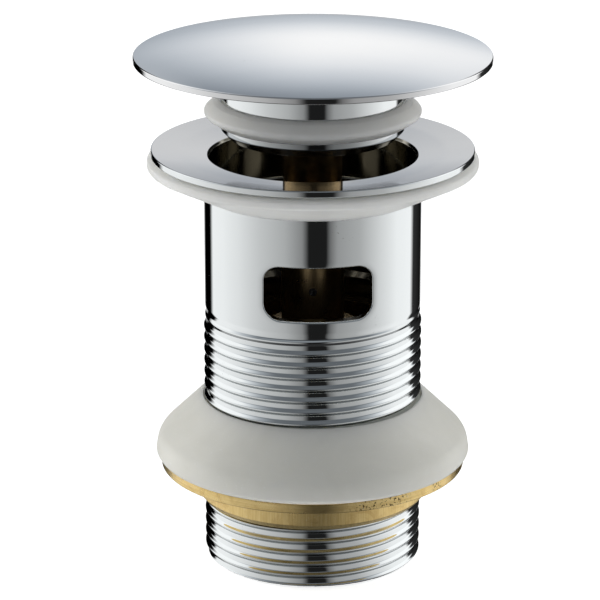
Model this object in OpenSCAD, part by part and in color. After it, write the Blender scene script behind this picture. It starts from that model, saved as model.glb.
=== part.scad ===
// Slotted pop up basin waste with a push-push plug.
// Millimetres, +Z up. The origin is the centre of the tail's end face,
// the axis of the tube is Z and the first overflow slot faces -Y.

/* [Body] */
// Height of the flange's outer edge above the tail end
body_h = 81.7; // [78:0.1:88]
// Diameter of the dished flange
flange_d = 61.4; // [58:0.2:64]
// Diameter of the plain tube above the thread
tube_d = 41.4; // [41.2:0.1:41.4]
// Bore of the tail, below the bridge
tail_bore_d = 36.8; // [36:0.1:37.2]
// Depth of the dish from the flange's edge to the mouth
dish_depth = 2.1; // [1.5:0.1:2.4]

/* [Thread] */
// Major diameter of the outside thread
thread_d = 41.91; // [41.91]
// Thread pitch, eleven to the inch
thread_pitch = 2.309; // [2.309]
// Depth of the thread grooves
thread_depth = 1.0; // [0.8:0.05:1.1]
// Length of free tail cut to the full diameter
tail_free = 12.9; // [9:0.1:13.2]

/* [Overflow slots] */
// Width of each slot
slot_w = 20.2; // [14:0.2:22]
// Height of each slot
slot_h = 10.3; // [8:0.1:11]
// Corner radius of each slot
slot_r = 3.0; // [2:0.1:3.8]
// Centre of the slots below the flange's edge
slot_drop = 23.3; // [22:0.1:24]
// Angle of the slots round the tube
slot_turn = 2.9; // [0:0.1:6]

/* [Plug] */
// Diameter of the mushroom cap
cap_d = 67.6; // [62:0.2:70]
// Height of the cap's dome above its rim
cap_dome = 3.8; // [2.6:0.1:4.4]
// Thickness of the cap's rim
cap_edge = 1.35; // [1.25:0.05:1.8]
// Height of the cap's rim above the flange, plug open
cap_lift = 16.5; // [15.5:0.1:18]
// Diameter of the neck under the cap
neck_d = 34.6; // [34:0.1:34.8]
// Diameter of the lip seal
lip_d = 41.1; // [40.6:0.1:41.3]
// Stroke of the plug from open to closed
stroke = 7.7; // [6:0.1:7.7]

/* [Clamp] */
// Diameter of the cone washer
cone_d = 60.8; // [56:0.2:64]
// Height of the cone washer
cone_h = 11.9; // [10:0.1:13]
// Diameter of the back nut's flange
nut_d = 58.8; // [54:0.2:60]
// Diameter of the back nut's hub
nut_hub_d = 44.8; // [44.8:0.2:48]
// Height of the back nut's lower face above the tail end
nut_z = 12.1; // [12:0.1:14]

/* [Cartridge] */
// Diameter of the cartridge barrel
barrel_d = 12.0; // [12:0.05:12.2]
// Diameter of the plunger sleeve
sleeve_d = 11.0; // [11:0.05:11.2]
// Turn of the cam over the stroke
cam_turn = 45; // [30:1:50]
// Wire diameter of the return spring
wire_d = 0.6; // [0.5:0.05:0.65]
// Turns of the return spring
spring_turns = 8; // [7:1:9]

/* [Hidden] */

T = body_h;                       // flange edge
tube_r = tube_d / 2;
thread_r = thread_d / 2;
flange_r = flange_d / 2;
tail_bore = tail_bore_d / 2;
seat_bore = 17.9;                 // bore that holds the bridge
upper_bore = 18.9;                // bore above the thread, past the slots
mouth_r = 20.0;
thread_top = T - 31.0;
groove_top = T - 33.0;            // centre of the highest full groove
grooves = floor((groove_top - 2.3) / thread_pitch) + 1;
flank = tan(27.5);
groove_half = 0.05 + thread_depth * flank;

cap_r = cap_d / 2;
cap_z = T + cap_lift;             // cap rim's lower edge
neck_r = neck_d / 2;
bowl_r = neck_r + 0.1;
bowl_z = T + 2.05;                // bottom of the bowl
seal_lo = T + 5.3;                // seal groove in the neck
seal_hi = T + 9.1;
groove_r = 15.0;
lip_r = lip_d / 2;

sleeve_r = sleeve_d / 2;
sleeve_bore = 4.8;
sleeve_bot = T - 12.9;
crown_z = T + 3.8;                // top of the sleeve's bore
barrel_r = barrel_d / 2;
barrel_neck = 4.75;
barrel_bore = 3.45;
barrel_bot = T - 52.1;
barrel_floor = T - 47.7;
barrel_step = sleeve_bot - stroke - 0.9;
barrel_top = crown_z - stroke - 0.7;

pin_z = T - 27.3;
rotor_r = 3.35;
rotor_bot = pin_z - 2.5;
rotor_h = 14;
track_foot = 1.5;                 // closed foot of the cam track above the rotor's end
seat_top = rotor_bot - 0.3;
spring_top = seat_top - 1.2;

bridge_top = T - 35.7;
bridge_bot = T - 43.7;
hub_bot = T - 44.7;

nut_top = nut_z + 8.4;
cone_bot = nut_top + 0.1;

brass = [0.80, 0.66, 0.38];
chrome = [0.84, 0.86, 0.88];
silicone = [0.80, 0.80, 0.78];
steel = [0.62, 0.63, 0.65];

function arc(cx, cz, r, a0, a1, n = 8) =
  [for (i = [0 : n]) let (a = a0 + (a1 - a0) * i / n) [cx + r * cos(a), cz + r * sin(a)]];

module lathe(p) rotate_extrude($fn = 96) polygon(p);

module tube_ring(r0, r1, z0, z1)
  translate([0, 0, z0]) difference() {
    cylinder(r = r1, h = z1 - z0, $fn = 96);
    translate([0, 0, -1]) cylinder(r = r0, h = z1 - z0 + 2, $fn = 96);
  }

module rounded_rect(w, h, r) {
  square([w - 2 * r, h], center = true);
  square([w, h - 2 * r], center = true);
  for (x = [-1, 1], y = [-1, 1]) translate([x * (w / 2 - r), y * (h / 2 - r)]) circle(r = r, $fn = 48);
}

// One period of the thread from a groove's lower shoulder up to the next one's.
// Crests on the free tail are flat, those above are slightly crowned.
function thread_period(i) = let (z = groove_top - i * thread_pitch, zn = z + thread_pitch,
    root = thread_r - thread_depth, edge = z < tail_free - 1.8 ? 0 : 0.07,
    land0 = z + groove_half, land1 = i == 0 ? thread_top : zn - groove_half)
  concat([[thread_r - (z < tail_free ? 0 : 0.07), z - groove_half], [root, z - 0.05], [root, z + 0.05]],
         edge == 0 ? [[thread_r, land0]]
                   : [[thread_r - edge, land0], [thread_r, (land0 + land1) / 2]]);

// Turned body: tail chamfer, thread, plain tube, dished flange, mouth and stepped bore
module waste_body() color(chrome) difference() {
  lathe(concat(
    [[tail_bore, 0.5], [tail_bore + 0.5, 0], [thread_r - 1.05, 0], [thread_r, 1.3]],
    [for (k = [1 : grooves]) for (p = thread_period(grooves - k)) p],
    [[thread_r - 0.07, thread_top - 0.2], [tube_r, thread_top], [tube_r, T - 3.85]],
    [[flange_r - 0.5, T - 1.75]],
    arc(flange_r - 0.45, T - 1.3, 0.45, -80, 0, 4),
    arc(flange_r - 0.5, T - 0.5, 0.5, 0, 84, 5),
    [[mouth_r + 0.6, T - dish_depth]],
    [[mouth_r + 0.2, T - dish_depth - 0.12], [mouth_r, T - dish_depth - 0.4]],
    [[upper_bore, T - 6.5], [upper_bore, T - 30.2], [seat_bore, T - 31.2],
     [seat_bore, T - 53.4], [tail_bore, T - 53.9]]));
  translate([0, 0, T - slot_drop]) rotate([0, 0, slot_turn]) rotate([90, 0, 0])
    linear_extrude(height = 2 * flange_r, center = true) rounded_rect(slot_w, slot_h, slot_r);
}

// Tapered washer trapped between the flange and the basin
module flange_seal() color(silicone)
  lathe(concat([[tube_r + 0.05, T - 9.0], [tube_r + 0.05, T - 3.92], [flange_r - 0.5, T - 1.83]],
    arc(flange_r + 0.25, T - 2.7, 0.5, 80, 0, 4),
    arc(flange_r + 0.25, T - 3.7, 0.5, 0, -60, 4),
    [[tube_r + 0.35, T - 9.1]]));

// Spoked bridge pressed into the bore, with a hub that carries the barrel
module bridge_spider() color(brass) difference() {
  union() {
    tube_ring(seat_bore - 1.7, seat_bore - 0.03, bridge_bot, bridge_top);
    translate([0, 0, hub_bot]) cylinder(r = 8.6, h = bridge_top + 0.5 - hub_bot, $fn = 96);
    for (a = [90, 210, 330]) rotate([0, 0, a]) translate([7, -2.2, bridge_bot])
      cube([seat_bore - 1.2 - 7, 4.4, bridge_top - bridge_bot - 1]);
  }
  translate([0, 0, hub_bot - 1]) cylinder(r = barrel_r + 0.03, h = 20, $fn = 96);
}

// Brass barrel: threaded foot with a driver slot, fat barrel, slim guide neck
module cartridge_barrel() color(brass) difference() {
  lathe(concat([[0, barrel_bot], [barrel_r - 0.8, barrel_bot], [barrel_r, barrel_bot + 0.8], [barrel_r, barrel_step - 0.3],
    [barrel_r - 0.3, barrel_step], [barrel_neck, barrel_step]],
    [[barrel_neck, barrel_top - 3.2], [barrel_neck - 0.7, barrel_top - 3.2], [barrel_neck - 0.7, barrel_top - 2.3], [barrel_neck, barrel_top - 2.3]],
    [[barrel_neck, barrel_top - 0.4], [barrel_neck - 0.4, barrel_top], [barrel_bore, barrel_top],
     [barrel_bore, barrel_floor], [0, barrel_floor]]));
  translate([0, 0, pin_z]) rotate([90, 0, 0]) cylinder(r = 0.77, h = barrel_r + 1, $fn = 48);
  translate([-barrel_r, -0.8, barrel_bot - 1]) cube([2 * barrel_r, 1.6, 2.6]);
}

// Thin hexagon nut below the bridge
module lock_nut() color(brass) difference() {
  intersection() {
    translate([0, 0, hub_bot - 6.4]) cylinder(r = 8.5 / cos(30), h = 5.4, $fn = 6);
    lathe([[0, hub_bot - 6.4], [8.6, hub_bot - 6.4], [10.2, hub_bot - 5.5], [10.2, hub_bot - 1.9], [8.6, hub_bot - 1], [0, hub_bot - 1]]);
  }
  translate([0, 0, hub_bot - 8]) cylinder(r = barrel_r + 0.03, h = 10, $fn = 96);
}

// Split spring washer between the nut and the bridge
module lock_washer() color(steel) difference() {
  tube_ring(barrel_r + 0.1, 8.4, hub_bot - 1, hub_bot);
  translate([5, -0.4, hub_bot - 2]) cube([5, 0.8, 3]);
}

// O-ring in the neck of the barrel
module barrel_oring() color([0.08, 0.08, 0.08])
  rotate_extrude($fn = 96) translate([barrel_neck - 0.335, barrel_top - 2.75]) circle(r = 0.345, $fn = 24);

// Pin through the barrel's wall that steers the cam
module guide_pin() color(steel)
  translate([0, 0, pin_z]) rotate([90, 0, 0]) translate([0, 0, 2.45]) cylinder(r = 0.75, h = barrel_r - 2.5, $fn = 48);

// Compression spring: closed end coils, open coils between
spring_r = 2.85;
spring_len = spring_top - barrel_floor - wire_d;
spring_steps = 18;
spring_sides = 6;
function coil_z(t) = let (dead = wire_d + 0.03)
  t < 1 ? dead * t
  : t > spring_turns - 1 ? spring_len - dead * (spring_turns - t)
  : dead + (spring_len - 2 * dead) * (t - 1) / (spring_turns - 2);
module return_spring() color(steel) {
  n = spring_turns * spring_steps;
  m = spring_sides;
  pts = [for (i = [0 : n]) for (j = [0 : m - 1])
    let (a = 360 * i / spring_steps, b = 360 * j / m, r = spring_r + wire_d / 2 * cos(b))
    [r * cos(a), r * sin(a), barrel_floor + wire_d / 2 + coil_z(i / spring_steps) + wire_d / 2 * sin(b)]];
  sides = [for (i = [0 : n - 1]) for (j = [0 : m - 1])
    let (p = i * m + j, q = i * m + (j + 1) % m) each [[p, q, q + m], [p, q + m, p + m]]];
  ends = [[for (j = [m - 1 : -1 : 0]) j], [for (j = [0 : m - 1]) n * m + j]];
  polyhedron(points = pts, faces = concat(sides, ends), convexity = 10);
}

// Low domed cap with a rolled rim, a relieved underside and a blind thread in its boss
dome_r = ((cap_r - 0.45) * (cap_r - 0.45) + cap_dome * cap_dome) / (2 * cap_dome);
dome_edge = asin((cap_r - 0.45) / dome_r);
module dome_cap() color(chrome)
  lathe(concat(
    [[2.5, cap_z + 2.9], [2.5, cap_z], [neck_r - 0.1, cap_z], [neck_r - 0.1, cap_z + 1.3], [24, cap_z + 1.3],
     [cap_r - 2.6, cap_z + 0.05], [cap_r - 0.6, cap_z]],
    arc(cap_r - 0.6, cap_z + 0.6, 0.6, -75, 0, 4),
    arc(cap_r - 0.6, cap_z + cap_edge - 0.6, 0.6, 15, 65, 3),
    [for (i = [0 : 20]) let (a = dome_edge * (1 - i / 20)) [dome_r * sin(a), cap_z + cap_edge + cap_dome - dome_r + dome_r * cos(a)]],
    [[0, cap_z + 2.9]]));

// Stud that ties the cap to the sleeve
module cap_stud() color(brass)
  lathe([[0, T + 8.4], [2.1, T + 8.4], [2.47, T + 8.8], [2.47, cap_z + 2.4], [2.1, cap_z + 2.8], [0, cap_z + 2.8]]);

// Cup under the cap: neck, seal groove, rounded bowl, hollow round a central hub
module plug_neck() color(chrome)
  lathe(concat(
    [[4.03, T + 5.1], [sleeve_r + 0.03, T + 5.1], [sleeve_r + 0.03, bowl_z + 0.3], [sleeve_r + 0.33, bowl_z]],
    arc(bowl_r - 1.6, bowl_z + 1.6, 1.6, -90, 0, 8),
    [[bowl_r, seal_lo], [groove_r, seal_lo], [groove_r, seal_hi], [neck_r, seal_hi], [neck_r, cap_z],
     [12.6, cap_z], [12.6, T + 6.5], [7.2, T + 6.5], [7.2, cap_z], [4.03, cap_z]]));

// Lip seal: a square root in the groove, a blunt skirt over the bowl and a rounded lip outside
lip_z = T + 6.95;
module plug_seal() color(silicone)
  lathe(concat(
    [[groove_r + 0.04, seal_lo + 0.03], [bowl_r + 0.06, seal_lo + 0.03], [bowl_r + 0.06, seal_lo - 0.3], [bowl_r + 0.72, seal_lo - 0.34], [lip_r - 0.75, lip_z - 0.95]],
    arc(lip_r - 0.8, lip_z, 0.8, -60, 50, 6),
    [[neck_r + 1.6, T + 8.9], [neck_r + 0.55, T + 9.32], [neck_r + 0.06, T + 9.37], [neck_r + 0.06, seal_hi - 0.03], [groove_r + 0.04, seal_hi - 0.03]]));

// Brass sleeve that slides on the barrel's neck; its spigot holds stud and spindle
module plunger_sleeve() color(brass)
  lathe([[sleeve_bore, sleeve_bot], [sleeve_r - 0.3, sleeve_bot], [sleeve_r, sleeve_bot + 0.3], [sleeve_r, T + 5.1], [4.0, T + 5.1],
    [4.0, T + 15.8], [2.5, T + 15.8], [2.5, T + 8.3], [0, T + 8.3], [0, T + 7.3], [1.62, T + 7.3], [1.62, crown_z], [sleeve_bore, crown_z]]);

// Rod from the sleeve's crown down to the spring, with a collar above the cam
module spindle() color(steel)
  lathe([[0, pin_z - 7], [0.9, pin_z - 7], [1.2, pin_z - 6.7], [1.2, pin_z - 6.3], [0.9, pin_z - 6.3], [0.9, pin_z - 5.7], [1.2, pin_z - 5.7],
    [1.2, seat_top], [1.6, seat_top], [1.6, rotor_bot + rotor_h + 0.3], [2.6, rotor_bot + rotor_h + 0.3], [2.6, rotor_bot + rotor_h + 1.5],
    [1.6, rotor_bot + rotor_h + 1.5], [1.6, T + 7.2], [0, T + 7.2]]);

// Bush that carries the spring at the spindle's foot
module spring_seat() color(brass)
  lathe([[1.22, seat_top], [1.22, pin_z - 5.5], [2.3, pin_z - 5.5], [2.3, spring_top], [3.3, spring_top], [3.3, seat_top]]);

// Open clip in the spindle's groove
module retaining_clip() color(steel) difference() {
  tube_ring(0.93, 2.1, pin_z - 6.25, pin_z - 5.75);
  translate([0, -0.7, pin_z - 7]) cube([3, 1.4, 2]);
}

// Cam on the spindle: a helical track, closed at its foot, that runs past the pin
module cam_rotor() color([0.92, 0.91, 0.86]) difference() {
  translate([0, 0, rotor_bot]) cylinder(r = rotor_r, h = rotor_h, $fn = 96);
  translate([0, 0, rotor_bot - 1]) cylinder(r = 1.65, h = rotor_h + 2, $fn = 96);
  track_h = rotor_h + 1 - track_foot;
  slope = cam_turn / stroke;
  translate([0, 0, rotor_bot + track_foot]) rotate([0, 0, -90 - slope * (2.5 - track_foot)])
    linear_extrude(height = track_h, twist = -slope * track_h, slices = 28)
      polygon([[2.2, -1.1], [4.2, -1.1], [4.2, 1.1], [2.2, 1.1]]);
}

// Cone washer that presses up under the basin
module cone_washer() color(silicone)
  let (r = cone_d / 2, z0 = cone_bot)
  lathe([[thread_r + 0.25, z0 + 0.3], [thread_r + 0.5, z0], [r - 0.4, z0], [r - 0.1, z0 + 0.25], [r, z0 + 0.7], [r - 0.22, z0 + 2.1],
    [r - 0.55, z0 + 3.1], [r - 1.0, z0 + 3.9], [r - 1.7, z0 + 4.75], [thread_r + 0.45, z0 + cone_h - 0.05], [thread_r + 0.25, z0 + cone_h - 0.1]]);

// Round back nut: broad flange above, slim hub with a bevelled foot below
module backnut() color(brass)
  let (r = nut_d / 2, h = nut_hub_d / 2)
  lathe([[thread_r + 0.2, nut_z + 0.3], [thread_r + 0.4, nut_z], [h - 0.95, nut_z], [h, nut_z + 1.1], [h, nut_z + 6.0], [h + 0.3, nut_z + 6.3],
    [r - 0.35, nut_z + 6.3], [r, nut_z + 6.6], [r, nut_top - 0.3], [r - 0.3, nut_top], [thread_r + 0.9, nut_top], [thread_r + 0.2, nut_top - 0.7]]);

waste_body();
flange_seal();
bridge_spider();
cartridge_barrel();
lock_nut();
lock_washer();
barrel_oring();
guide_pin();
return_spring();
dome_cap();
cap_stud();
plug_neck();
plug_seal();
plunger_sleeve();
spindle();
spring_seat();
retaining_clip();
cam_rotor();
cone_washer();
backnut();
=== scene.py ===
import math

import bpy
import numpy as np
from mathutils import Euler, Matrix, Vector


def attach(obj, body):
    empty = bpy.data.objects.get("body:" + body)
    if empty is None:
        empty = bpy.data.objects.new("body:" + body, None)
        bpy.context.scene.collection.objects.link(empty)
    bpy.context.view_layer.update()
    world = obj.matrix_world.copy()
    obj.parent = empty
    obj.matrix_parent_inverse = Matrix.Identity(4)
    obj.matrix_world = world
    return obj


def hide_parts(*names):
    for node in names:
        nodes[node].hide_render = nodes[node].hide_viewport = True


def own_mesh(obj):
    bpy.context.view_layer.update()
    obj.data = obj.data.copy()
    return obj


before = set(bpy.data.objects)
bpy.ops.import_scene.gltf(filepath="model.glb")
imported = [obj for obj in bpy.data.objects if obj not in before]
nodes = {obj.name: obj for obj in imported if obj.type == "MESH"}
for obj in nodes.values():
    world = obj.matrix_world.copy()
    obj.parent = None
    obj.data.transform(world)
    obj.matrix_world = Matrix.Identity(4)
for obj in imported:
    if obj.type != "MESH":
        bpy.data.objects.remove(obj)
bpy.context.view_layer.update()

scene = bpy.context.scene
PI = math.pi


# ---------------------------------------------------------------- mesh building
# All shapes are worked out in millimetres and turned into metres in Skin.build().

class Skin:
    """Collects four-cornered faces with a normal at each corner, then welds them into one object."""

    def __init__(self):
        self.pos, self.nrm, self.mat = [], [], []

    def strip(self, a, na, b, nb, mat=0):
        """Faces between two rows of points that have the same length."""
        p = np.stack([a[:-1], a[1:], b[1:], b[:-1]], 1)
        n = np.stack([na[:-1], na[1:], nb[1:], nb[:-1]], 1)
        self.pos.append(p)
        self.nrm.append(n)
        self.mat.append(np.full(len(p), mat, np.int32))

    def build(self, name, mats):
        p = np.concatenate(self.pos)
        n = np.concatenate(self.nrm)
        m = np.concatenate(self.mat)
        n = n / np.maximum(np.linalg.norm(n, axis=2, keepdims=True), 1e-12)
        d1, d2 = p[:, 2] - p[:, 0], p[:, 3] - p[:, 1]
        turn = (np.cross(d1, d2) * n.sum(1)).sum(1) < 0
        p[turn] = p[turn][:, ::-1]
        n[turn] = n[turn][:, ::-1]
        key, inverse = np.unique(np.round(p.reshape(-1, 3), 5), axis=0, return_inverse=True)
        idx = inverse.reshape(-1, 4)
        faces, normals, kept = [], [], []
        for f in range(len(idx)):
            ids, cs = [], []
            for c in range(4):
                if idx[f][c] not in ids:
                    ids.append(int(idx[f][c]))
                    cs.append(c)
            if len(ids) < 3:
                continue
            faces.append(ids)
            normals.extend(n[f][cs])
            kept.append(m[f])
        me = bpy.data.meshes.new(name)
        me.from_pydata((key * 0.001).tolist(), [], faces)
        me.polygons.foreach_set("use_smooth", np.ones(len(faces), bool))
        me.polygons.foreach_set("material_index", np.array(kept, np.int32))
        me.update()
        me.normals_split_custom_set([tuple(v) for v in normals])
        ob = bpy.data.objects.new(name, me)
        scene.collection.objects.link(ob)
        for x in mats:
            me.materials.append(x)
        return ob


def outline(corners, closed=True):
    """Turns (r, z, fillet) corners, and ("arc", r, z, radius, from, to) entries, into short pieces
    (p0, p1, n0, n1) whose normals are exact on the lines and on the fillets.
    Outlines run anticlockwise with r to the right and z up, so the normal is on the right of travel."""
    pts = []
    for c in corners:
        if c[0] == "arc":
            _, cr, cz, rad, a0, a1 = c
            k = max(4, int(math.ceil(abs(a1 - a0) / 8)))
            arc = [(cr + rad * math.cos(math.radians(a0 + (a1 - a0) * i / k)),
                    cz + rad * math.sin(math.radians(a0 + (a1 - a0) * i / k)),
                    (math.cos(math.radians(a0 + (a1 - a0) * i / k)), math.sin(math.radians(a0 + (a1 - a0) * i / k)))) for i in range(k + 1)]
            pts.append(("arc", arc))
        else:
            pts.append(("pt", (float(c[0]), float(c[1])), float(c[2]) if len(c) > 2 else 0.0))
    count = len(pts)

    def ends(i):
        x = pts[i]
        return ((x[1][0][:2], x[1][-1][:2]) if x[0] == "arc" else (x[1], x[1]))

    runs = []
    for i in range(count):
        if pts[i][0] == "arc":
            runs.append(pts[i][1])
            continue
        here = np.array(pts[i][1])
        f = pts[i][2]
        if f <= 0 or (not closed and i in (0, count - 1)):
            runs.append([(here[0], here[1], None)])
            continue
        prev, nxt = np.array(ends((i - 1) % count)[1]), np.array(ends((i + 1) % count)[0])
        d1, d2 = here - prev, nxt - here
        d1, d2 = d1 / np.linalg.norm(d1), d2 / np.linalg.norm(d2)
        turn = math.atan2(d1[0] * d2[1] - d1[1] * d2[0], d1 @ d2)
        t = f * math.tan(abs(turn) / 2)
        p0 = here - d1 * t
        side = 1 if turn > 0 else -1
        centre = p0 + f * side * np.array([-d1[1], d1[0]])
        k = max(3, int(math.ceil(math.degrees(abs(turn)) / 9)), int(math.ceil(abs(turn) * f / 1.4)))
        run = []
        for s in range(k + 1):
            a = turn * s / k
            rot = np.array([[math.cos(a), -math.sin(a)], [math.sin(a), math.cos(a)]])
            q = centre + rot @ (p0 - centre)
            n = rot @ np.array([d1[1], -d1[0]])
            run.append((q[0], q[1], (n[0], n[1])))
        runs.append(run)
    pieces = []
    for i, run in enumerate(runs):
        for s in range(len(run) - 1):
            pieces.append((run[s][:2], run[s + 1][:2], run[s][2], run[s + 1][2]))
        if not closed and i == count - 1:
            break
        a, b = run[-1], runs[(i + 1) % count][0]
        d = (b[0] - a[0], b[1] - a[1])
        length = math.hypot(*d)
        if length < 1e-7 or (a[0] < 1e-9 and b[0] < 1e-9):
            continue
        n = (d[1] / length, -d[0] / length)
        pieces.append((a[:2], b[:2], n, n))
    return pieces


def columns(count, start=0.0):
    return start + 2 * PI * np.arange(count + 1) / count


def ring(th, r, z):
    return np.stack([r * np.cos(th), r * np.sin(th), np.full_like(th, z)], 1)


def ring_normal(th, nr, nz):
    return np.stack([nr * np.cos(th), nr * np.sin(th), np.full_like(th, nz)], 1)


def revolve(skin, pieces, th, mat=0):
    for p0, p1, n0, n1 in pieces:
        skin.strip(ring(th, *p0), ring_normal(th, *n0), ring(th, *p1), ring_normal(th, *n1), mat)


def turned(name, corners, mats, count=192, start=0.0):
    skin = Skin()
    revolve(skin, outline(corners), columns(count, start))
    return skin.build(name, mats)


def smooth(x):
    x = np.clip(x, 0, 1)
    return x * x * (3 - 2 * x)


# ---------------------------------------------------------------- materials

class Nodes:
    """Short names for the node kinds that the finishes use."""

    def __init__(self, name):
        self.m = bpy.data.materials.new(name)
        self.m.use_nodes = True
        self.t = self.m.node_tree
        self.b = self.t.nodes["Principled BSDF"]
        self.co = self.t.nodes.new("ShaderNodeTexCoord").outputs["Object"]

    def put(self, kind, **values):
        n = self.t.nodes.new(kind)
        for k, v in values.items():
            setattr(n, k, v)
        return n

    def link(self, a, b):
        self.t.links.new(a, b)

    def scaled(self, sx, sy, sz):
        n = self.put("ShaderNodeMapping")
        n.inputs["Scale"].default_value = (sx, sy, sz)
        self.link(self.co, n.inputs["Vector"])
        return n.outputs["Vector"]

    def noise(self, scale, detail=2.0, rough=0.5, vec=None, distortion=0.0):
        n = self.put("ShaderNodeTexNoise")
        n.inputs["Scale"].default_value = scale
        n.inputs["Detail"].default_value = detail
        n.inputs["Roughness"].default_value = rough
        n.inputs["Distortion"].default_value = distortion
        self.link(vec if vec is not None else self.co, n.inputs["Vector"])
        return n.outputs["Fac"]

    def span(self, x, a, b, c, d):
        n = self.put("ShaderNodeMapRange")
        n.clamp = True
        for k, v in zip(("From Min", "From Max", "To Min", "To Max"), (a, b, c, d)):
            n.inputs[k].default_value = v
        self.link(x, n.inputs["Value"])
        return n.outputs["Result"]

    def math(self, op, x, y=None):
        n = self.put("ShaderNodeMath", operation=op)
        for i, v in enumerate((x, y)):
            if v is None:
                continue
            if isinstance(v, (int, float)):
                n.inputs[i].default_value = v
            else:
                self.link(v, n.inputs[i])
        return n.outputs[0]

    def mix(self, fac, a, b):
        n = self.put("ShaderNodeMix", data_type="RGBA")
        self.link(fac, n.inputs["Factor"])
        for sock, v in ((n.inputs[6], a), (n.inputs[7], b)):
            if isinstance(v, tuple):
                sock.default_value = (*v, 1)
            else:
                self.link(v, sock)
        return n.outputs[2]

    def bump(self, height, distance, strength=1.0, before=None):
        n = self.put("ShaderNodeBump")
        n.inputs["Strength"].default_value = strength
        n.inputs["Distance"].default_value = distance
        self.link(height, n.inputs["Height"])
        if before is not None:
            self.link(before, n.inputs["Normal"])
        return n.outputs["Normal"]

    def radius(self):
        """Distance from the axis, and height, of the point being shaded."""
        s = self.put("ShaderNodeSeparateXYZ")
        self.link(self.co, s.inputs[0])
        x, y = s.outputs[0], s.outputs[1]
        return self.math("SQRT", self.math("ADD", self.math("MULTIPLY", x, x), self.math("MULTIPLY", y, y))), s.outputs[2]

    def finish(self, colour=None, rough=None, normal=None, **values):
        if colour is not None:
            self.link(colour, self.b.inputs["Base Color"])
        if rough is not None:
            self.link(rough, self.b.inputs["Roughness"])
        if normal is not None:
            self.link(normal, self.b.inputs["Normal"])
        for k, v in values.items():
            self.b.inputs[k.replace("_", " ")].default_value = v
        return self.m


def chrome(name, light, dark, r0, r1, wave, pits=0.70, painted_front_reflection=None):
    """Bright plate: slow waviness, faint smudges in the gloss, a few pin specks here and there."""
    n = Nodes(name)
    cloud = n.noise(70, 3, 0.55)
    patch = n.span(n.noise(95, 2, 0.5), 0.63, 0.70, 0, 0.4)
    speck = n.math("MULTIPLY", n.span(n.noise(2300, 1, 0.4), pits, pits + 0.05, 0, 1), patch)
    colour = n.mix(speck, n.mix(cloud, light, dark), (0.30, 0.29, 0.27))
    if painted_front_reflection is not None:                     # painted dark reflection: the plate turns towards the given colour at the front, on the -y side
        at = n.put("ShaderNodeSeparateXYZ")
        n.link(n.co, at.inputs[0])
        colour = n.mix(n.span(at.outputs[1], -0.0225, -0.0080, 1.0, 0), colour, painted_front_reflection)
    rough = n.math("ADD", n.span(n.noise(160, 4, 0.6), 0.35, 0.72, r0, r1), n.math("MULTIPLY", speck, 0.25))
    slow = n.bump(n.noise(260, 1, 0.4), wave)
    fine = n.bump(n.noise(5200, 2, 0.5), 0.0000004, 1.0, slow)
    return n.finish(colour, rough, fine, Metallic=1.0)


def silicone(name, light, dark, clear, soft, deep):
    """Milky moulded rubber: cloudy body, satin skin with fine grain, a little dust."""
    n = Nodes(name)
    cloud = n.noise(85, 4, 0.6, distortion=0.6)
    colour = n.mix(n.span(cloud, 0.3, 0.7, 0, 1), light, dark)
    dust = n.span(n.noise(1900, 1, 0.5), 0.70, 0.76, 0, 0.35)
    colour = n.mix(dust, colour, (0.93, 0.93, 0.92))
    rough = n.span(n.noise(380, 3, 0.6), 0.3, 0.7, 0.30, 0.46)
    skin = n.bump(n.noise(900, 3, 0.6), 0.000010, 1.0, n.bump(n.noise(120, 2, 0.5), 0.00005))
    return n.finish(colour, rough, skin, IOR=1.41, Transmission_Weight=clear, Subsurface_Weight=soft,
                    Subsurface_Radius=(1.0, 0.97, 0.90), Subsurface_Scale=deep, Specular_IOR_Level=0.5)


def brass(name, light, dark, r0, r1, streak=0.5):
    """Plain brass, dulled unevenly, with fine marks along the axis."""
    n = Nodes(name)
    marks = n.noise(1.0, 3, 0.6, n.scaled(2600, 2600, 45))
    cloud = n.noise(150, 4, 0.6)
    colour = n.mix(n.math("ADD", n.math("MULTIPLY", marks, streak), n.math("MULTIPLY", cloud, 1 - streak)), light, dark)
    rough = n.span(n.noise(420, 3, 0.6), 0.3, 0.7, r0, r1)
    skin = n.bump(marks, 0.000015, 1.0, n.bump(n.noise(1500, 2, 0.5), 0.000006))
    return n.finish(colour, rough, skin, Metallic=1.0)


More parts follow.
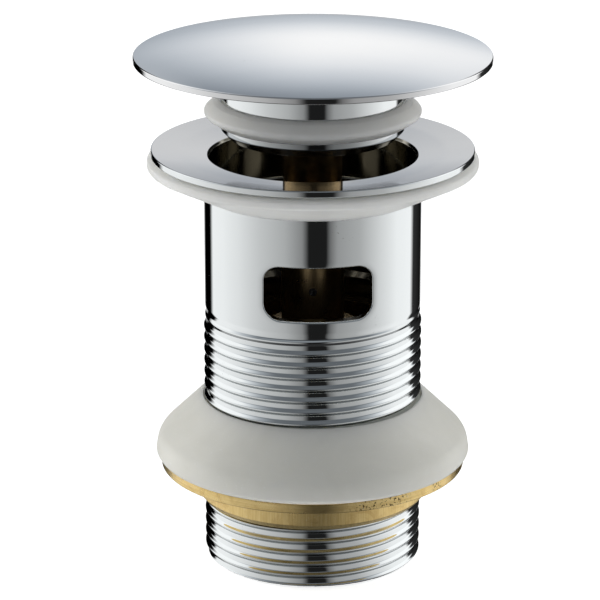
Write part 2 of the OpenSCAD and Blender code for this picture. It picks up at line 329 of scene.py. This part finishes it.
def nut_brass(name):
    """The back nut: turned rim with pits and stains, hub with close marks along the axis."""
    n = Nodes(name)
    r, z = n.radius()
    hub = n.span(r, 0.0230, 0.0236, 1, 0)
    upright = n.noise(1.0, 3, 0.65, n.scaled(2900, 2900, 130))
    around = n.noise(1.0, 3, 0.6, n.scaled(70, 70, 3400))
    marks = n.math("ADD", n.math("MULTIPLY", upright, hub), n.math("MULTIPLY", around, n.math("SUBTRACT", 1.0, hub)))
    base = n.mix(n.span(marks, 0.32, 0.68, 0, 1), (0.96, 0.74, 0.34), (0.78, 0.57, 0.228))
    stain = n.span(n.noise(230, 4, 0.7, distortion=1.2), 0.52, 0.70, 0, 0.6)
    base = n.mix(stain, base, (0.60, 0.40, 0.15))
    x = n.put("ShaderNodeSeparateXYZ")
    n.link(n.co, x.inputs[0])
    worn = n.math("MULTIPLY", n.span(x.outputs[0], 0.0060, 0.0095, 0, 1), n.span(x.outputs[0], 0.0165, 0.0190, 1, 0))
    gate = n.math("MAXIMUM", worn, n.span(n.noise(140, 2, 0.5), 0.60, 0.68, 0, 1))
    pit = n.math("MULTIPLY", n.math("MULTIPLY", n.span(n.noise(2300, 2, 0.6), 0.56, 0.62, 0, 1), gate), n.span(r, 0.0268, 0.0285, 0, 1))
    base = n.mix(pit, base, (0.10, 0.065, 0.025))
    # painted glints: specks of pale base colour on the brass
    glint = n.math("MULTIPLY", n.span(n.noise(3100, 1, 0.4), 0.70, 0.74, 0, 0.5), n.span(n.noise(90, 1, 0.5), 0.5, 0.6, 0, 1))
    base = n.mix(glint, base, (1.0, 0.93, 0.75))
    rough = n.math("ADD", n.span(n.noise(300, 3, 0.6), 0.3, 0.7, 0.24, 0.34), n.math("MULTIPLY", n.math("MAXIMUM", pit, hub), 0.12))
    height = n.math("SUBTRACT", marks, n.math("MULTIPLY", pit, 2.0))
    skin = n.bump(height, 0.00003, 1.0, n.bump(n.noise(700, 2, 0.5), 0.00001))
    return n.finish(base, rough, skin, Metallic=1.0)


def plain_metal(name, light, dark, r0, r1):
    n = Nodes(name)
    cloud = n.noise(300, 4, 0.6)
    colour = n.mix(cloud, light, dark)
    skin = n.bump(n.noise(2500, 2, 0.6), 0.000004)
    return n.finish(colour, n.span(n.noise(600, 3, 0.6), 0.3, 0.7, r0, r1), skin, Metallic=1.0)


def moulded(name, light, dark, r0, r1):
    n = Nodes(name)
    colour = n.mix(n.noise(420, 3, 0.6), light, dark)
    skin = n.bump(n.noise(3000, 2, 0.6), 0.000008)
    return n.finish(colour, n.span(n.noise(800, 3, 0.6), 0.3, 0.7, r0, r1), skin)


CHROME = chrome("polished_chrome", (0.868, 0.902, 0.908), (0.838, 0.870, 0.876), 0.028, 0.07, 0.0000032)
CAP_CHROME = chrome("cap_chrome", (0.895, 0.90, 0.905), (0.865, 0.87, 0.88), 0.05, 0.09, 0.0000020, 0.74)
# painted shade: the dish is a darker copy of the body's chrome, standing in for the shade under the cap, with a painted
# dark reflection at its front
SHADED_DISH = chrome("dish_chrome_painted_shade", (0.49, 0.50, 0.515), (0.455, 0.463, 0.48), 0.05, 0.10, 0.0000025, 0.74, (0.270, 0.279, 0.297))
BORE = chrome("thin_bore_plate", (0.30, 0.275, 0.22), (0.17, 0.155, 0.12), 0.08, 0.20, 0.000006)
MOUTH = chrome("mouth_plate", (0.52, 0.50, 0.43), (0.38, 0.36, 0.30), 0.05, 0.12, 0.000005)
CLEAR = silicone("milky_silicone", (0.93, 0.92, 0.87), (0.88, 0.87, 0.815), 0.08, 0.80, 0.006)
CONE = silicone("cone_silicone", (0.86, 0.85, 0.79), (0.80, 0.79, 0.73), 0.08, 0.60, 0.004)
NUT = nut_brass("turned_nut_brass")
BRASS = brass("cartridge_brass", (0.60, 0.44, 0.24), (0.36, 0.255, 0.125), 0.14, 0.26)
# painted shade: a darker copy of the chrome laid on each ridge's under-flank
UNDER = chrome("thread_shade", (0.33, 0.345, 0.35), (0.27, 0.285, 0.29), 0.05, 0.12, 0.0000030)
# painted reflection: the bowl's outer wall is the body chrome turned near black at the front
PAINTED_WALL_REFLECTION = chrome("bowl_wall_painted_reflection", (0.868, 0.902, 0.908), (0.838, 0.870, 0.876), 0.03, 0.08, 0.0000032, 0.72, (0.05, 0.06, 0.065))
# painted shade: a dark copy of the chrome for the bowl's down-facing underside
SHADED_BOWL = chrome("bowl_underside_painted_shade", (0.15, 0.15, 0.145), (0.09, 0.09, 0.085), 0.10, 0.20, 0.000005)
BARREL = brass("barrel_brass", (0.58, 0.43, 0.235), (0.35, 0.25, 0.125), 0.27, 0.37)
STEEL = plain_metal("spring_steel", (0.62, 0.63, 0.65), (0.48, 0.49, 0.51), 0.2, 0.36)
ACETAL = moulded("acetal", (0.82, 0.81, 0.76), (0.75, 0.74, 0.69), 0.35, 0.5)
NITRILE = moulded("nitrile", (0.018, 0.018, 0.019), (0.032, 0.031, 0.030), 0.42, 0.6)

for names, m in ((("bridge_spider", "lock_nut", "spring_seat", "cap_stud"), BRASS), (("cartridge_barrel",), BARREL),
                 (("spindle", "guide_pin", "retaining_clip", "lock_washer"), STEEL),
                 (("cam_rotor",), ACETAL), (("barrel_oring",), NITRILE)):
    for x in names:
        nodes[x].data.materials.clear()
        nodes[x].data.materials.append(m)


def place(ob, node, body):
    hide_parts(node)
    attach(ob, body)
    return ob


# ---------------------------------------------------------------- plug

CAP_Z = 98.2
DOME_R, EDGE = 148.2, 13.0
HALF = DOME_R * math.tan(math.radians(EDGE / 2))
RIM_TOP = CAP_Z + 5.15 - (33.8 - HALF) * math.tan(math.radians(EDGE))
place(turned("dome_cap_shell", [
    (0, CAP_Z + 2.9), (2.5, CAP_Z + 2.9), (2.5, CAP_Z, 0.2), (17.1, CAP_Z, 0.2), (17.1, CAP_Z + 1.3, 0.4), (24.0, CAP_Z + 1.3, 2.0),
    (31.2, CAP_Z + 0.05, 1.0), (33.8, CAP_Z, 0.3), (33.8, RIM_TOP, 0.28), (HALF, CAP_Z + 5.15, DOME_R), (0, CAP_Z + 5.15)],
    [CAP_CHROME], 288), "dome_cap", "plug")

cup = Skin()
for piece in outline([
    (4.03, 86.8), (5.53, 86.8), (5.53, 84.0, 0.1), (5.83, 83.75, 0.1), (15.8, 83.75, 0.4), (17.4, 85.35, 0.35), (17.4, 87.0, 0.12), (15.0, 87.0), (15.0, 90.8),
    (17.3, 90.8, 0.12), (17.3, 98.19), (12.6, 98.19), (12.6, 88.2, 0.6), (7.2, 88.2, 0.6), (7.2, 98.19), (4.03, 98.19)]):
    # down-facing faces of the bowl take the dark plate with painted shade; its outer wall takes the plate with the
    # painted dark reflection
    below = piece[0][1] + piece[1][1] < 170.6 and piece[2][1] + piece[3][1] < -0.9 and piece[0][0] > 5.6
    wall = 84.6 < piece[0][1] < 87.1 and 84.6 < piece[1][1] < 87.1 and min(piece[0][0], piece[1][0]) > 16.5 and not below
    revolve(cup, [piece], columns(256), 1 if below else 2 if wall else 0)
place(cup.build("plug_neck_cup", [CHROME, SHADED_BOWL, PAINTED_WALL_REFLECTION]), "plug_neck", "plug")

place(turned("plug_lip_seal", [
    (15.04, 87.03), (17.46, 87.03), (17.46, 86.69, 0.06), (18.17, 86.63, 0.2), ("arc", 19.75, 88.65, 0.8, -58, 50),
    (18.85, 90.55, 1.2), (17.85, 91.0, 0.3), (17.36, 91.07, 0.06), (17.36, 90.77), (15.04, 90.77)],
    [CLEAR], 224), "plug_seal", "plug")

place(turned("plunger_sleeve_tube", [
    (4.8, 68.8, 0.15), (5.5, 68.8, 0.3), (5.5, 86.8), (4.0, 86.8), (4.0, 97.5), (2.5, 97.5), (2.5, 90.0), (0, 90.0), (0, 89.0),
    (1.62, 89.0), (1.62, 85.5), (4.8, 85.5)],
    [BRASS], 128), "plunger_sleeve", "plug")


# ---------------------------------------------------------------- seals, washer and nut

place(turned("flange_cone_seal", [
    (20.75, 73.05, 0.05), (21.05, 72.9, 0.12), ("arc", 30.95, 78.3, 0.5, -58, 0), ("arc", 30.95, 79.0, 0.5, 0, 75),
    (30.2, 79.87), (20.75, 77.78)],
    [CLEAR], 224), "flange_seal", "waste")

place(turned("cone_washer_soft", [
    (21.205, 20.9, 0.1), (21.455, 20.6, 0.1), (30.0, 20.6, 0.3), (30.4, 21.25, 0.5), (29.95, 24.1, 4.0), (21.5, 32.36, 0.15), (21.205, 32.4, 0.05)],
    [CONE], 224), "cone_washer", "clamp_washer")

place(turned("backnut_ring", [
    (21.155, 12.4, 0.08), (21.355, 12.1, 0.05), (21.45, 12.1, 0.05), (22.4, 13.2, 0.2), (22.4, 18.3, 0.3), (29.4, 18.42, 0.3), (29.4, 20.5, 0.3),
    (21.855, 20.5, 0.1), (21.155, 19.8, 0.1)],
    [NUT], 224), "backnut", "clamp_nut")


# ---------------------------------------------------------------- body

PITCH = 2.309
SLOT_TURN = math.radians(-90 + 2.9)
COLS = 192
TH = columns(COLS, SLOT_TURN)
TUBE, BORE_R = 20.7, 18.75
THREAD_END = 51.5            # the thread has run out below this height
SLOT_Z, SLOT_A, SLOT_B, SLOT_R = 58.4, 10.1, 5.15, 3.0
Z0, Z1, ROWS, WIDE = 51.6, 65.2, 18, 21   # field round each slot: heights, rows, columns each side


CREST, ROOT = 20.955, 20.435
RIDGE = 46.84                # height of one ridge at the front
HALF_CREST, UPPER, LOWER = 0.13, 0.54, 0.60   # half the crest, then the heights of the flanks over and under it


def thread_height(z):
    """Height at which the thread's level z lies: the tail was cut a little further down the helix."""
    return z - 0.60 * (1 - smooth((z - 12.0) / 20.0))


def thread_radius(th, level):
    """Right-hand thread: rounded ridges over a broad root, run-out at the top, chamfer at the tail."""
    u = level - RIDGE - PITCH * (th + PI / 2) / (2 * PI)
    u = (u + PITCH / 2) % PITCH - PITCH / 2
    flank = np.where(u > 0, UPPER - 0.10 * (1 - smooth((level - 12.0) / 20.0)), LOWER)
    v = 1 + (HALF_CREST - np.abs(u)) / flank
    v = 0.5 * (v + np.sqrt(v * v + 0.16 ** 2))
    v = v - 0.5 * (v - 1 + np.sqrt((v - 1) ** 2 + 0.10 ** 2))
    z = thread_height(level)
    land = TUBE + (CREST - TUBE) * (1 - smooth((z - 47.2) / 1.3))
    r = land - (land - ROOT) * (1 - v) * (1 - smooth((z - 49.1) / 2.15))
    chamfer = 20.45 + z
    gap = r - chamfer
    return 0.5 * (r + chamfer - np.sqrt(gap * gap + 0.09 ** 2))


body = Skin()
over_ridge = [0, 0.06, 0.11, 0.15, 0.21, 0.29, 0.38, 0.47, 0.55, 0.61, 0.66, 0.71, 0.78, 0.90, 1.06]
under_ridge = [0.06, 0.11, 0.15, 0.20, 0.27, 0.35, 0.44, 0.53, 0.61, 0.67, 0.72, 0.77, 0.84, 0.95, 1.08]
offsets = np.array(over_ridge + [PITCH - x for x in under_ridge[::-1]])
turns = int(THREAD_END / PITCH) + 3
levels = np.concatenate([offsets + PITCH * k for k in range(turns)])
first = RIDGE + PITCH * (SLOT_TURN + PI / 2) / (2 * PI)
first -= PITCH * math.ceil((first + PITCH) / PITCH)
rows = []
for level in levels:
    zz = np.clip(first + level + PITCH * np.arange(COLS + 1) / COLS, 0.602, THREAD_END)
    z = thread_height(zz)
    low, high = z <= 0.003, zz >= THREAD_END
    z = np.where(low, 0.0, z)
    r = thread_radius(TH, zz)
    dz = (thread_radius(TH, zz + 1e-3) - thread_radius(TH, zz - 1e-3)) / (thread_height(zz + 1e-3) - thread_height(zz - 1e-3))
    dt = (thread_radius(TH + 1e-4, zz) - thread_radius(TH - 1e-4, zz)) / 2e-4
    r = np.where(low, 19.87, np.where(high, TUBE, r))
    dz, dt = np.where(high, 0, dz), np.where(high, 0, dt)
    c, s = np.cos(TH), np.sin(TH)
    nrm = np.stack([c + dt / r * s, s - dt / r * c, -dz], 1)
    rows.append((np.stack([r * c, r * s, z], 1), nrm))
# strips on each ridge's under-flank take the darker plate with painted shade
for i, (a, b) in enumerate(zip(rows[:-1], rows[1:])):
    from_ridge = PITCH - (offsets[i % len(offsets)] + (offsets[(i + 1) % len(offsets)] or PITCH)) / 2
    shade = (a[0][:, 2] > 1.0) & (a[0][:, 2] < 49.9) & (0.14 < from_ridge < 0.68)
    k0, k1 = (int(np.argmax(shade)), len(shade) - 1 - int(np.argmax(shade[::-1]))) if shade.any() else (0, 0)
    for k, j, m in ((0, k0, 0), (k0, k1, 4), (k1, COLS, 0)):
        if j > k:
            body.strip(a[0][k:j + 1], a[1][k:j + 1], b[0][k:j + 1], b[1][k:j + 1], m)

# plain tube and bore beside the slots
body.strip(ring(TH, TUBE, THREAD_END), ring_normal(TH, 1, 0), ring(TH, TUBE, Z0), ring_normal(TH, 1, 0))
heights = np.linspace(Z0, Z1, ROWS + 1)
for lo, hi in ((WIDE, COLS // 2 - WIDE), (COLS // 2 + WIDE, COLS - WIDE)):
    part = TH[lo:hi + 1]
    for za, zb in zip(heights[:-1], heights[1:]):
        body.strip(ring(part, TUBE, za), ring_normal(part, 1, 0), ring(part, TUBE, zb), ring_normal(part, 1, 0))
        body.strip(ring(part, BORE_R, za), ring_normal(part, -1, 0), ring(part, BORE_R, zb), ring_normal(part, -1, 0), 1)


def slot_side(a, b, r, count):
    """One long side of the slot's outline with half of each corner: points and outward directions."""
    total = 2 * (a - r) + r * PI / 2
    out = []
    for i in range(count):
        s = total * i / count
        if s < r * PI / 4:
            g = math.radians(225) + s / r
            out.append((-(a - r) + r * math.cos(g), -(b - r) + r * math.sin(g), math.cos(g), math.sin(g)))
        elif s < r * PI / 4 + 2 * (a - r):
            out.append((-(a - r) + s - r * PI / 4, -b, 0.0, -1.0))
        else:
            g = math.radians(270) + (s - r * PI / 4 - 2 * (a - r)) / r
            out.append(((a - r) + r * math.cos(g), -(b - r) + r * math.sin(g), math.cos(g), math.sin(g)))
    return out


def quarter(p, k):
    for _ in range(k):
        p = [(-y, x, -oy, ox) for x, y, ox, oy in p]
    return p


hole = np.array(slot_side(SLOT_A, SLOT_B, SLOT_R, 2 * WIDE) + quarter(slot_side(SLOT_B, SLOT_A, SLOT_R, ROWS), 1)
                + quarter(slot_side(SLOT_A, SLOT_B, SLOT_R, 2 * WIDE), 2) + quarter(slot_side(SLOT_B, SLOT_A, SLOT_R, ROWS), 3))
step = 2 * PI / COLS
across = np.arange(-WIDE, WIDE) * step
field_t = np.concatenate([across, np.full(ROWS, WIDE * step), -across, np.full(ROWS, -WIDE * step)])
field_z = np.concatenate([np.full(2 * WIDE, Z0), heights[:-1], np.full(2 * WIDE, Z1), heights[:0:-1]])
hole, field_t, field_z = (np.concatenate([x, x[:1]]) for x in (hole, field_t, field_z))
HX, HZ, OX, OZ = hole.T

for centre in (SLOT_TURN, SLOT_TURN + PI):
    e = np.array([math.cos(centre), math.sin(centre), 0])
    t = np.array([-math.sin(centre), math.cos(centre), 0])
    up = np.array([0, 0, 1.0])

    def on(x, z, radius, sink=0.0):
        """Point at sideways distance x and height z on a cylinder, moved in along the slot by sink; its radial direction."""
        y = np.sqrt(radius * radius - x * x)
        radial = (y[:, None] * e + x[:, None] * t) / radius
        return (y - sink)[:, None] * e + x[:, None] * t + (z + SLOT_Z)[:, None] * up, radial

    def outward(x, radius):
        y = np.sqrt(radius * radius - x * x)
        along = (y[:, None] * t - x[:, None] * e) / radius
        return OX[:, None] * along + OZ[:, None] * up

    layers = []
    # field, worked from its frame in to the eased zone round the slot
    EASE, DROP, FIL = 1.1, 0.075, 0.32
    x1, z1 = HX + (FIL + EASE) * OX, HZ + (FIL + EASE) * OZ
    t1 = np.arcsin(x1 / TUBE)
    for k in np.linspace(0, 1, 5):
        ang, z = field_t + (t1 - field_t) * k, field_z + (z1 + SLOT_Z - field_z) * k
        rad = np.cos(ang)[:, None] * e + np.sin(ang)[:, None] * t
        layers.append((TUBE * rad + z[:, None] * up, rad, 0))
    # surface eased down towards the edge by polishing
    for d in (0.9, 0.7, 0.5, 0.32, 0.16, 0.0):
        x, z = HX + (FIL + d) * OX, HZ + (FIL + d) * OZ
        drop, slope = DROP * (1 - d / EASE) ** 3, 3 * DROP / EASE * (1 - d / EASE) ** 2
        p, rad = on(x, z, TUBE)
        layers.append((p - rad * drop, rad - outward(x, TUBE) * slope, 0))
    # rounded edge
    t0 = math.atan(3 * DROP / EASE)
    for k in range(1, 6):
        a = t0 + (PI / 2 - t0) * k / 5
        q = FIL * (1 - math.sin(a)) / (1 - math.sin(t0))
        x, z = HX + q * OX, HZ + q * OZ
        p, rad = on(x, z, TUBE, DROP + FIL * (math.cos(t0) - math.cos(a)))
        wall = OX[:, None] * t + OZ[:, None] * up
        layers.append((p, math.cos(a) * rad - math.sin(a) * wall, 0))
    # wall, then the inner edge
    INNER = 0.18
    wall = OX[:, None] * t + OZ[:, None] * up
    outer_y = np.sqrt(TUBE ** 2 - HX ** 2) - DROP - FIL * math.cos(t0)
    inner_y = np.sqrt(BORE_R ** 2 - HX ** 2) + INNER
    for k in (0.0, 0.35, 0.7, 1.0):
        y = outer_y + (inner_y - outer_y) * k
        layers.append((y[:, None] * e + HX[:, None] * t + (HZ + SLOT_Z)[:, None] * up, -wall, 1))
    for k in range(1, 4):
        a = PI / 2 * (1 - k / 3)
        q = INNER * (1 - math.sin(a))
        x, z = HX + q * OX, HZ + q * OZ
        p, rad = on(x, z, BORE_R, -INNER * (1 - math.cos(a)))
        layers.append((p, -math.cos(a) * rad - math.sin(a) * wall, 1))
    x1, z1 = HX + INNER * OX, HZ + INNER * OZ
    t1 = np.arcsin(x1 / BORE_R)
    for k in np.linspace(0, 1, 5)[1:]:
        ang, z = t1 + (field_t - t1) * k, z1 + SLOT_Z + (field_z - z1 - SLOT_Z) * k
        rad = np.cos(ang)[:, None] * e + np.sin(ang)[:, None] * t
        layers.append((BORE_R * rad + z[:, None] * up, -rad, 1))
    for a, b in zip(layers[:-1], layers[1:]):
        body.strip(a[0], a[1], b[0], b[1], b[2])

# tube top, flange, dish and mouth
top = outline([
    (TUBE, Z1), (TUBE, 77.85, 0.25), (30.7, 80.06, 0.40), (30.7, 81.42, 0.24), (25.4, 80.83, 60.0), (20.05, 80.1, 0.08),
    (19.65, 79.65, 0.15), (19.55, 75.0), (19.55, 70.2, 0.05), (BORE_R, 70.15, 0.05), (BORE_R, Z1)], closed=False)
# the up-facing dish takes the darker plate with painted shade
for piece in top:
    r, up_facing = (piece[0][0] + piece[1][0]) / 2, piece[2][1] + piece[3][1]
    revolve(body, [piece], TH, 2 if r < 30.55 and up_facing > 1.9 else 1 if r < 18.8 else 3 if r < 20.0 else 0)
# lower bore and tail end
revolve(body, outline([
    (BORE_R, Z0), (BORE_R, 51.5, 0.05), (17.9, 50.5, 0.1), (17.9, 28.3, 0.1), (18.4, 27.8, 0.1), (18.4, 0.5, 0.1)], closed=False), TH, 1)
revolve(body, outline([(18.4, 0.5), (18.9, 0, 0.1), (19.87, 0)], closed=False), TH)
place(body.build("waste_body_shell", [CHROME, BORE, SHADED_DISH, MOUTH, UNDER]), "waste_body", "waste")


# ---------------------------------------------------------------- return spring

COIL_R, WIRE, COIL_TURNS, COIL_FOOT, COIL_LEN = 2.85, 0.6, 8, 34.0, 15.8
dead = WIRE + 0.03
turn = np.linspace(0, COIL_TURNS, COIL_TURNS * 40 + 1)
rise = np.interp(turn, [0, 1, COIL_TURNS - 1, COIL_TURNS], [0, dead, COIL_LEN - dead, COIL_LEN])
ease = np.convolve(np.pad(rise, 8, mode="edge"), np.ones(17) / 17, mode="valid")
rise = np.where((turn > 0.5) & (turn < COIL_TURNS - 0.5), ease, rise)
wind = 2 * PI * turn
out_dir = np.stack([np.cos(wind), np.sin(wind), np.zeros_like(wind)], 1)
line = COIL_R * out_dir + np.stack([0 * wind, 0 * wind, COIL_FOOT + WIRE / 2 + rise], 1)
along = np.gradient(line, axis=0)
along /= np.linalg.norm(along, axis=1, keepdims=True)
side = np.cross(along, out_dir)
spring = Skin()
round_wire = [(math.cos(2 * PI * k / 14) * out_dir + math.sin(2 * PI * k / 14) * side) for k in range(15)]
for a, b in zip(round_wire[:-1], round_wire[1:]):
    spring.strip(line + a * WIRE / 2, a, line + b * WIRE / 2, b)
for end, sign in ((0, -1.0), (-1, 1.0)):
    tip = np.array([line[end] + w[end] * WIRE / 2 for w in round_wire])
    flat = np.repeat((sign * along[end])[None, :], 15, 0)
    spring.strip(tip, flat, np.repeat(line[end][None, :], 15, 0), flat)
coil = place(spring.build("return_spring_coil", [STEEL]), "return_spring", "waste")
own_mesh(coil)


# ---------------------------------------------------------------- floor, light and camera

bpy.ops.mesh.primitive_plane_add(size=6.0, location=(0, 0, -0.0003))
floor = bpy.context.object
floor.name = "floor"
n = Nodes("pale_floor")
n.finish(n.mix(n.noise(3, 2, 0.5), (0.86, 0.86, 0.86), (0.88, 0.88, 0.88)), n.span(n.noise(40, 2, 0.5), 0.3, 0.7, 0.75, 0.85), None,
         Specular_IOR_Level=0.1, Emission_Color=(1, 1, 1, 1))
n.link(n.span(n.put("ShaderNodeLightPath").outputs["Is Camera Ray"], 0, 1, 0.33, 0.72), n.b.inputs["Emission Strength"])
floor.data.materials.append(n.m)
floor.visible_glossy = False

world = bpy.data.worlds.new("studio")
scene.world = world
world.use_nodes = True
W = world.node_tree
W.nodes.clear()


def wmath(op, a, b=None, c=None):
    x = W.nodes.new("ShaderNodeMath")
    x.operation = op
    for i, v in enumerate((a, b, c)):
        if v is None:
            continue
        if isinstance(v, (int, float)):
            x.inputs[i].default_value = v
        else:
            W.links.new(v, x.inputs[i])
    return x.outputs[0]


def wspan(v, a, b, c=0.0, d=1.0):
    x = W.nodes.new("ShaderNodeMapRange")
    x.interpolation_type = "SMOOTHSTEP"
    for k, y in zip(("From Min", "From Max", "To Min", "To Max"), (a, b, c, d)):
        x.inputs[k].default_value = y
    W.links.new(v, x.inputs["Value"])
    return x.outputs["Result"]


def wramp(v, stops, lo, hi):
    """Light level against an angle, straight between the stops."""
    x = W.nodes.new("ShaderNodeValToRGB")
    x.color_ramp.interpolation = "LINEAR"
    el = x.color_ramp.elements
    while len(el) < len(stops):
        el.new(0.5)
    for k, (a, y) in zip(el, stops):
        k.position = (a - lo) / (hi - lo)
        k.color = (y, y, y, 1)
    W.links.new(wspan_linear(v, lo, hi), x.inputs[0])
    return x.outputs[0]


def wspan_linear(v, a, b):
    x = W.nodes.new("ShaderNodeMapRange")
    for k, y in zip(("From Min", "From Max", "To Min", "To Max"), (a, b, 0.0, 1.0)):
        x.inputs[k].default_value = y
    W.links.new(v, x.inputs["Value"])
    return x.outputs["Result"]


def wmix(f, a, b):
    return wmath("ADD", wmath("MULTIPLY", a, wmath("SUBTRACT", 1.0, f)), wmath("MULTIPLY", b, f))


direction = W.nodes.new("ShaderNodeTexCoord").outputs["Generated"]
split = W.nodes.new("ShaderNodeSeparateXYZ")
W.links.new(direction, split.inputs[0])
DEG = 180 / PI
azimuth = wmath("MULTIPLY", wmath("ARCTAN2", split.outputs[0], wmath("MULTIPLY", split.outputs[1], -1.0)), DEG)
height = wmath("MULTIPLY", wmath("ARCSINE", split.outputs[2]), DEG)
aside = wmath("ABSOLUTE", azimuth)

# level of the sweep round the object: soft boxes left and right, a dark gap in front, dark flags behind, dark below
low = wramp(azimuth, ((-180, 0.55), (-168, 0.50), (-163, 0.0), (-139.5, 0.0), (-132.5, 0.96), (-110, 0.94), (-85, 0.82), (-58, 0.61), (-30, 0.45),
                      (-11.5, 0.26), (-4.5, 0.012), (14, 0.012), (18.5, 0.17), (26, 0.33), (50, 0.44), (76, 0.72), (100, 0.95), (126.5, 1.0),
                      (133.5, 0.03), (163, 0.0), (168, 0.50), (180, 0.55)), -180, 180)
low = wmix(wspan(height, -66, -42), 0.08, low)
# above: soft boxes reach up at the sides, the front is dark but for a dim belt
over = wramp(azimuth, ((-180, 0.60), (-125, 0.95), (-100, 0.90), (-80, 0.45), (-60, 0.16), (-35, 0.09), (0, 0.045), (35, 0.09), (60, 0.16), (80, 0.45),
                       (100, 0.95), (125, 1.0), (180, 0.60)), -180, 180)
over = wmath("MULTIPLY", over, 1.12)
belt = wmath("MULTIPLY", wspan(height, 15, 23), wmath("SUBTRACT", 1.0, wspan(height, 34, 48)))
over = wmath("MAXIMUM", over, wmath("MULTIPLY", belt, 0.26))
front = wmix(wspan(height, 40, 75), over, 0.15)
# behind: a bright wall that fades upward, downward and to both sides
back = wramp(height, ((-90, 0.40), (-14, 0.40), (-5, 0.47), (3, 0.60), (8.5, 0.78), (13, 0.915), (16.5, 0.96), (20, 0.952), (23, 0.933), (25.7, 0.88),
                      (28.5, 0.815), (31, 0.713), (33.2, 0.626), (35.5, 0.518), (37.5, 0.414), (39.6, 0.313), (43, 0.20), (50, 0.16), (90, 0.20)), -90, 90)
behind_x = wmath("MULTIPLY", wmath("ARCTAN2", split.outputs[0], split.outputs[1]), DEG)
tilt = wmath("MULTIPLY", wspan(behind_x, -15, 1, 0.30, 1.0), wspan(behind_x, 2, 10, 1.0, 0.93))
back = wmath("MULTIPLY", wmath("MULTIPLY", back, tilt), 1.06)
rear = wspan(aside, 164, 171)
upper = wmix(rear, front, back)
rise = wmix(rear, wspan(height, -3, 9), wspan(height, -14.5, -3))
# the flags stand up higher than the soft boxes' lower edge
flag = wmath("MULTIPLY", wspan(aside, 129.5, 135.5), wmath("SUBTRACT", 1.0, wspan(aside, 162, 167)))
rise = wmix(flag, rise, wspan(height, 26, 42))
level = wmix(rise, low, upper)
# the dimmer the upper light, the cooler it is
cool = wmath("MULTIPLY", rise, wmath("SUBTRACT", 1.0, wmath("MINIMUM", level, 1.0)))
cool = wmath("MULTIPLY", cool, wmix(rear, 0.6, 1.0))
tone = W.nodes.new("ShaderNodeCombineXYZ")
W.links.new(wmath("MULTIPLY", level, wmath("MULTIPLY_ADD", cool, -0.15, 1.0)), tone.inputs[0])
W.links.new(level, tone.inputs[1])
W.links.new(wmath("MULTIPLY", level, wmath("MULTIPLY_ADD", cool, 0.18, 1.0)), tone.inputs[2])
seen = W.nodes.new("ShaderNodeLightPath").outputs["Is Camera Ray"]
pick = W.nodes.new("ShaderNodeMix")
pick.data_type = "RGBA"
W.links.new(seen, pick.inputs["Factor"])
W.links.new(tone.outputs[0], pick.inputs[6])
pick.inputs[7].default_value = (1, 1, 1, 1)
bg = W.nodes.new("ShaderNodeBackground")
W.links.new(pick.outputs[2], bg.inputs["Color"])
out = W.nodes.new("ShaderNodeOutputWorld")
W.links.new(bg.outputs[0], out.inputs["Surface"])

# soft light from both sides for the rubber; the metal shows only the sweep
for name, az, power in (("light_left", -105, 3.2), ("light_right", 105, 2.2)):
    lamp = bpy.data.lights.new(name, "AREA")
    lamp.shape, lamp.size, lamp.energy, lamp.color = "SQUARE", 0.5, power, (1.0, 0.985, 0.94)
    ob = bpy.data.objects.new(name, lamp)
    scene.collection.objects.link(ob)
    a, e = math.radians(az), math.radians(17)
    ob.location = (0.8 * math.cos(e) * math.sin(a), -0.8 * math.cos(e) * math.cos(a), 0.05 + 0.8 * math.sin(e))
    ob.rotation_euler = (Vector((0, 0, 0.05)) - ob.location).to_track_quat("-Z", "Y").to_euler()
    ob.visible_glossy = False
    ob.visible_camera = False

camera = bpy.data.cameras.new("camera")
camera.lens = 189.23
camera.sensor_width = 36.0
camera.clip_start, camera.clip_end = 0.01, 20.0
cam = bpy.data.objects.new("camera", camera)
scene.collection.objects.link(cam)
cam.location = (-0.00243, -0.57643, 0.238385)
cam.rotation_euler = Euler((math.radians(90 - 18.016), 0, 0))
scene.camera = cam

scene.view_settings.view_transform = "Standard"
scene.view_settings.look = "None"
scene.view_settings.exposure = 0.0
scene.view_settings.gamma = 1.0
